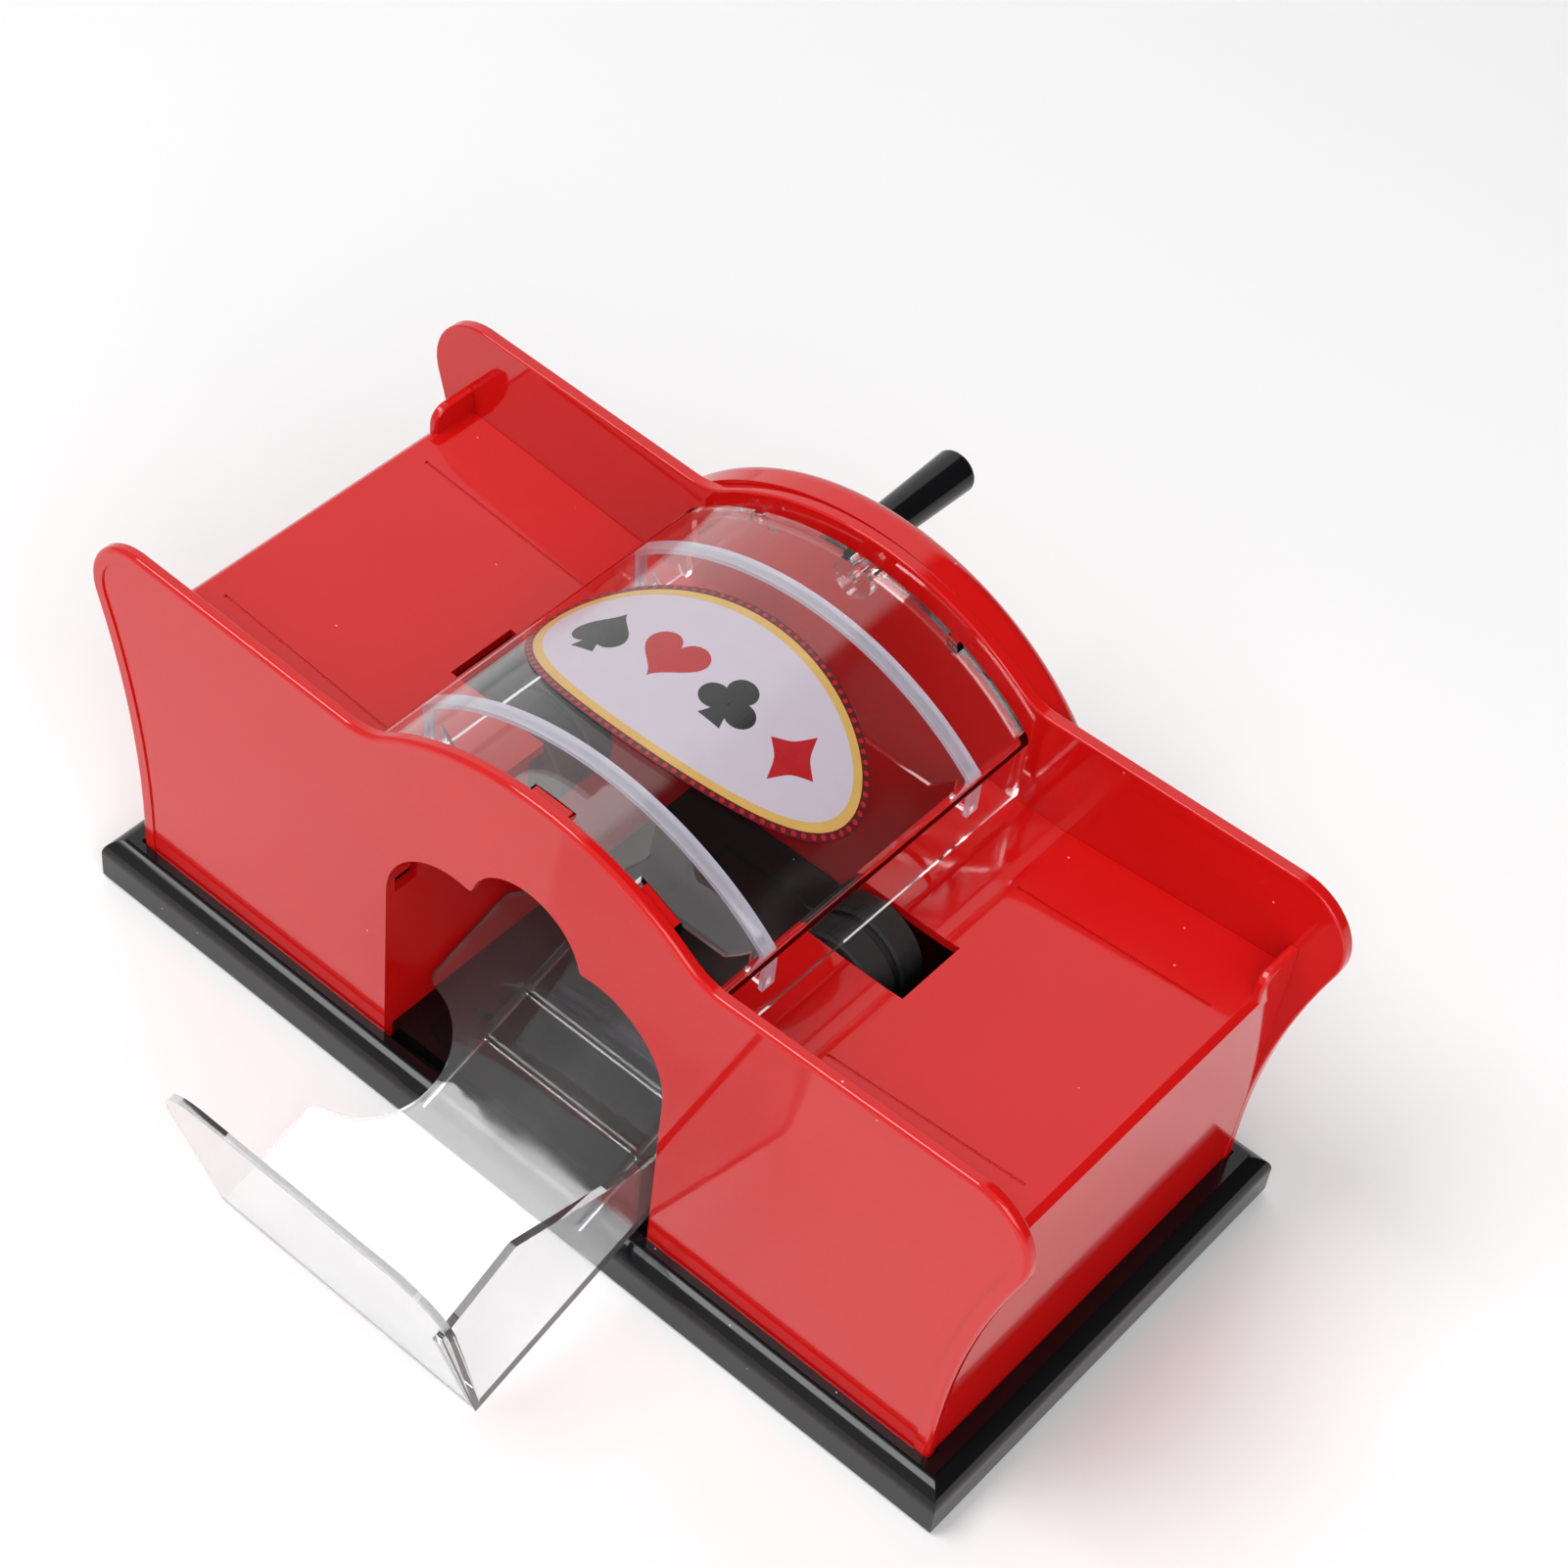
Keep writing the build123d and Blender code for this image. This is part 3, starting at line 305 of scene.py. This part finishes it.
def steel():
    """Drawn steel with fine streaks along Y."""
    m = Maker("steel")
    stretch = m.node("ShaderNodeMapping")
    stretch.inputs["Scale"].default_value = (1.0, 0.06, 1.0)
    m.link(m.place, stretch.inputs["Vector"])
    m.place = stretch.outputs["Vector"]
    streaks = m.noise(0.4 * MM, 4.0)
    m.link(m.mix(streaks, (0.42, 0.42, 0.43), (0.62, 0.62, 0.63)), m.shader.inputs["Base Color"])
    m.link(m.between(streaks, 0.22, 0.38), m.shader.inputs["Roughness"])
    m.bump(streaks, 0.004 * MM)
    m.set(Metallic=1.0)
    return m.material


def ink(name, low, high, roughness=0.3):
    """Printed colour with a faint screen texture, under a clear film."""
    m = Maker(name)
    m.link(m.mix(m.noise(4 * MM, 5.0), low, high), m.shader.inputs["Base Color"])
    m.link(m.between(m.noise(3 * MM), roughness - 0.06, roughness + 0.06), m.shader.inputs["Roughness"])
    m.bump(m.noise(0.5 * MM), 0.004 * MM)
    m.set(Coat_Weight=0.5, Coat_Roughness=0.12)
    return m.material


MATERIALS = {
    "red_plastic": red_plastic(),
    "black_plastic": black_plastic(),
    "dark_plastic": dark_plastic(),
    "rubber": rubber(),
    "clear_plastic": clear_plastic(
        "clear_plastic", (0.965, 0.98, 0.985), (0.99, 0.993, 0.997), 1.0, 0.02, (0.66, 0.67, 0.675)
    ),
    "gear_plastic": gear_plastic(),
    "bush_plastic": gear_plastic(),
    "steel": steel(),
}
GUIDE = guide_plastic()
# The tray's grey tint is darker than clear plastic's own: painted shade that dims the floor seen through the
# tray, as if shaded under it.
TRAY = clear_plastic(
    "tray_plastic_painted_shade", (0.76, 0.765, 0.77), (0.81, 0.813, 0.816), 0.975, 0.05, (0.76, 0.76, 0.765)
)

for part in frame["record"]["subparts"]:
    node = frame["nodes"][part["node"]]
    material = MATERIALS.get(part["material_slot"])
    if part["node"].endswith("card_guide"):
        material = GUIDE
    if part["node"] == "card_tray":
        material = TRAY
    if material:
        for place in node.material_slots:
            place.material = material


# ------------------------------------------------------------------ the label on the cover
LABEL_MIDDLE = (-1.0, -3.0)
LABEL_HALF = (38.3, 21.7)
LABEL_BAND = 1.6
LABEL_GOLD = 1.8
BEADS = 96
BEAD_RADIUS = 0.52
FINE_STEPS = 2400
PRINT_STEP = 0.004
PRINT_STEPS = 4
PRINT_TUCK = 0.1
CUT_REACH = 40
PIP = 13.0

# Heights of the prints over the arch, in millimetres. Each lies a little over the one under it.
FIELD_LIFT = 0.16
BAND_LIFT = 0.17
BORDER_LIFT = 0.18
PIP_LIFT = 0.19


def oval(inset, steps=120):
    """Outline of the label in millimetres, round (0, 0), drawn this far inside its edge."""
    points = []
    for step in range(steps):
        turn = 2 * math.pi * step / steps
        points.append(((LABEL_HALF[0] - inset) * math.cos(turn), (LABEL_HALF[1] - inset) * math.sin(turn)))
    return points


def beads(inset, steps=10):
    """Outlines of small round dots, evenly spaced along an oval."""
    fine = oval(inset, FINE_STEPS)
    reach = [0.0]
    for first, second in zip(fine, fine[1:] + fine[:1]):
        reach.append(reach[-1] + math.dist(first, second))
    outlines = []
    index = 0
    for bead in range(BEADS):
        while reach[index] < reach[-1] * bead / BEADS:
            index += 1
        middle = fine[index % len(fine)]
        disc = []
        for step in range(steps):
            turn = 2 * math.pi * step / steps
            disc.append((middle[0] + BEAD_RADIUS * math.cos(turn), middle[1] + BEAD_RADIUS * math.sin(turn)))
        outlines.append(disc)
    return outlines


def heart(size, steps=48):
    """Outline of a card heart of this height, with its point down."""
    points = []
    for step in range(steps):
        turn = 2 * math.pi * step / steps
        across = 16 * math.sin(turn) ** 3
        along = 13 * math.cos(turn) - 5 * math.cos(2 * turn) - 2 * math.cos(3 * turn) - math.cos(4 * turn)
        points.append((across * size / 30, (along + 2.5) * size / 30))
    return points


def diamond(size, steps=8):
    """Outline of a card diamond of this height, with slightly hollow sides."""
    tips = [(0.37 * size, 0), (0, 0.5 * size), (-0.37 * size, 0), (0, -0.5 * size)]
    points = []
    for first, second in zip(tips, tips[1:] + tips[:1]):
        for step in range(steps):
            along = step / steps
            pull = 1 - 0.22 * math.sin(math.pi * along)
            points.append(tuple(pull * (a + (b - a) * along) for a, b in zip(first, second)))
    return points


def stem(size):
    """Foot of a spade or a club."""
    foot, neck = 0.2 * size, 0.03 * size
    return [(-foot, -0.5 * size), (foot, -0.5 * size), (neck, -0.05 * size), (-neck, -0.05 * size)]


def spade(size):
    """Outlines of a card spade: a heart upside down on a foot."""
    leaf = [(x, -y + 0.07 * size) for x, y in heart(0.86 * size)]
    return [leaf, stem(size)]


def club(size, steps=28):
    """Outlines of a card club: three discs on a foot."""
    outlines = [stem(size)]
    for across, along in ((0, 0.24), (-0.24, -0.1), (0.24, -0.1)):
        disc = []
        for step in range(steps):
            turn = 2 * math.pi * step / steps
            disc.append(((across + 0.235 * math.cos(turn)) * size, (along + 0.235 * math.sin(turn)) * size))
        outlines.append(disc)
    half, top = 0.1 * size, 0.15 * size
    outlines.append([(-half, -half), (half, -half), (half, top), (-half, top)])
    return outlines


def printed(name, outlines, lift, material, middle=LABEL_MIDDLE, hole=None):
    """A thin print on the arch of the cover. Outlines are in millimetres, seen from above.

    Neighbouring outlines lie at slightly different heights, so that two that cross don't share a face. The
    sheet is cut into strips along the arch, so that it bends with it.
    """
    mesh = bmesh.new()
    for order, outline in enumerate(outlines):
        above = PRINT_STEP * (order % PRINT_STEPS)
        corners = [mesh.verts.new((x + middle[0], y + middle[1], above)) for x, y in outline]
        if hole:
            inner = [mesh.verts.new((x + middle[0], y + middle[1], 0)) for x, y in hole]
            for index in range(len(corners)):
                after = (index + 1) % len(corners)
                mesh.faces.new((corners[index], corners[after], inner[after], inner[index]))
        else:
            mesh.faces.new(corners)
    for cut in range(-CUT_REACH, CUT_REACH):
        geometry = mesh.verts[:] + mesh.edges[:] + mesh.faces[:]
        bmesh.ops.bisect_plane(mesh, geom=geometry, plane_co=(cut, 0, 0), plane_no=(1, 0, 0))
    radius = COVER_RADIUS / MM + lift
    for corner in mesh.verts:
        corner.co.z += COVER_AXIS_Z / MM + math.sqrt(radius**2 - corner.co.x**2)
        corner.co *= MM
    bmesh.ops.triangulate(mesh, faces=mesh.faces[:])
    bmesh.ops.recalc_face_normals(mesh, faces=mesh.faces[:])
    data = bpy.data.meshes.new(name)
    mesh.to_mesh(data)
    mesh.free()
    for face in data.polygons:
        if face.normal.z < 0:
            face.flip()
    data.materials.append(material)
    piece = bpy.data.objects.new(name, data)
    bpy.context.scene.collection.objects.link(piece)
    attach(piece, "cover")
    return piece


gold = ink("print_gold", (0.52, 0.31, 0.075), (0.64, 0.40, 0.12))
lilac = ink("print_lilac", (0.50, 0.44, 0.51), (0.53, 0.47, 0.54), 0.35)
red_ink = ink("print_red", (0.36, 0.010, 0.014), (0.44, 0.014, 0.018))
dark_ink = ink("print_dark_red", (0.075, 0.006, 0.010), (0.11, 0.010, 0.014))
black_ink = ink("print_black", (0.010, 0.010, 0.012), (0.018, 0.018, 0.02))

field = printed("label_field", [oval(LABEL_BAND + LABEL_GOLD - PRINT_TUCK)], FIELD_LIFT, lilac)
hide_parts("cover_label")
printed("label_border", [oval(LABEL_BAND)], BORDER_LIFT, gold, hole=oval(LABEL_BAND + LABEL_GOLD))
printed("label_band", [oval(0)], BAND_LIFT, dark_ink, hole=oval(LABEL_BAND))
printed("label_beads", beads(LABEL_BAND / 2), PIP_LIFT, red_ink)
PIPS = (
    ("spade", -24.0, spade(PIP), black_ink),
    ("heart", -8.5, [heart(PIP)], red_ink),
    ("club", 7.0, club(PIP), black_ink),
    ("diamond", 22.0, [diamond(PIP * 1.1)], red_ink),
)
for name, across, outlines, colour in PIPS:
    printed("label_" + name, outlines, PIP_LIFT, colour, middle=(across, LABEL_MIDDLE[1]))


# ------------------------------------------------------------------ floor, lights and camera
def floor():
    """Plain pale table top."""
    m = Maker("floor")
    m.link(m.mix(m.noise(0.4), (0.94, 0.94, 0.94), (0.96, 0.96, 0.96)), m.shader.inputs["Base Color"])
    m.set(Roughness=0.6)
    data = bpy.data.meshes.new("floor")
    half = FLOOR_HALF
    corners = [(-half, -half, 0), (half, -half, 0), (half, half, 0), (-half, half, 0)]
    data.from_pydata(corners, [], [(0, 1, 2, 3)])
    data.materials.append(m.material)
    plane = bpy.data.objects.new("floor", data)
    plane.location.z = -FLOOR_DROP
    bpy.context.scene.collection.objects.link(plane)


def soft_light(name, place, target, size, power):
    """Large rectangular white light at place, turned to target."""
    data = bpy.data.lights.new(name, "AREA")
    data.shape = "RECTANGLE"
    data.size, data.size_y = size
    data.energy = power
    lamp = bpy.data.objects.new(name, data)
    lamp.location = place
    lamp.rotation_mode = "QUATERNION"
    lamp.rotation_quaternion = (Vector(target) - Vector(place)).to_track_quat("-Z", "Y")
    bpy.context.scene.collection.objects.link(lamp)


def camera():
    """The camera where the photographer stood."""
    data = bpy.data.cameras.new("camera")
    data.sensor_width = SENSOR
    data.lens = CAMERA_LENS
    data.clip_start, data.clip_end = CAMERA_CLIP
    view = bpy.data.objects.new("camera", data)
    level = math.cos(CAMERA_ELEVATION)
    along_x = -math.sin(CAMERA_AZIMUTH) * level
    along_y = math.cos(CAMERA_AZIMUTH) * level
    ahead = Vector((along_x, along_y, -math.sin(CAMERA_ELEVATION)))
    view.location = CAMERA_AT
    view.rotation_mode = "QUATERNION"
    view.rotation_quaternion = ahead.to_track_quat("-Z", "Y") @ Quaternion((0, 0, 1), CAMERA_ROLL)
    bpy.context.scene.collection.objects.link(view)
    bpy.context.scene.camera = view


def world():
    """A pale studio: a bright wall at the back left, a dim corner at the back right, even light in front.

    The camera itself sees a plain pale backdrop.
    """
    made = bpy.data.worlds.new("surroundings")
    made.use_nodes = True
    nodes, links = made.node_tree.nodes, made.node_tree.links
    apart = nodes.new("ShaderNodeSeparateXYZ")
    links.new(nodes.new("ShaderNodeTexCoord").outputs["Generated"], apart.inputs["Vector"])

    def step(source, low, high, first, last):
        """Goes from first to last as source goes from low to high."""
        ramp = nodes.new("ShaderNodeMapRange")
        ramp.interpolation_type = "SMOOTHSTEP"
        ramp.inputs["From Min"].default_value = low
        ramp.inputs["From Max"].default_value = high
        ramp.inputs["To Min"].default_value = first
        ramp.inputs["To Max"].default_value = last
        links.new(source, ramp.inputs["Value"])
        return ramp.outputs["Result"]

    def blend(factor, first, second):
        """A number between first and second, which are numbers or sockets."""
        mixed = nodes.new("ShaderNodeMix")
        links.new(factor, mixed.inputs["Factor"])
        for value, socket in ((first, mixed.inputs["A"]), (second, mixed.inputs["B"])):
            if isinstance(value, float):
                socket.default_value = value
            else:
                links.new(value, socket)
        return mixed.outputs["Result"]

    wall = step(apart.outputs["X"], CORNER_FROM, CORNER_TO, WALL_LIGHT, CORNER_LIGHT)
    behind = step(apart.outputs["Y"], BEHIND_FROM, BEHIND_TO, 0.0, 1.0)
    around = blend(behind, FRONT_LIGHT, wall)
    direct = nodes.new("ShaderNodeLightPath").outputs["Is Camera Ray"]
    nodes["Background"].inputs["Color"].default_value = (1.0, 1.0, 1.0, 1.0)
    links.new(blend(direct, around, BACKDROP), nodes["Background"].inputs["Strength"])
    bpy.context.scene.world = made


floor()
world()
camera()
soft_light("key", KEY_PLACE, KEY_TARGET, KEY_SIZE, KEY_POWER)
soft_light("fill", FILL_PLACE, FILL_TARGET, FILL_SIZE, FILL_POWER)
bpy.context.scene.view_settings.view_transform = "Standard"


def plain(box):
    """A box as plain lists of numbers."""
    return [[float(value) for value in corner] for corner in box]
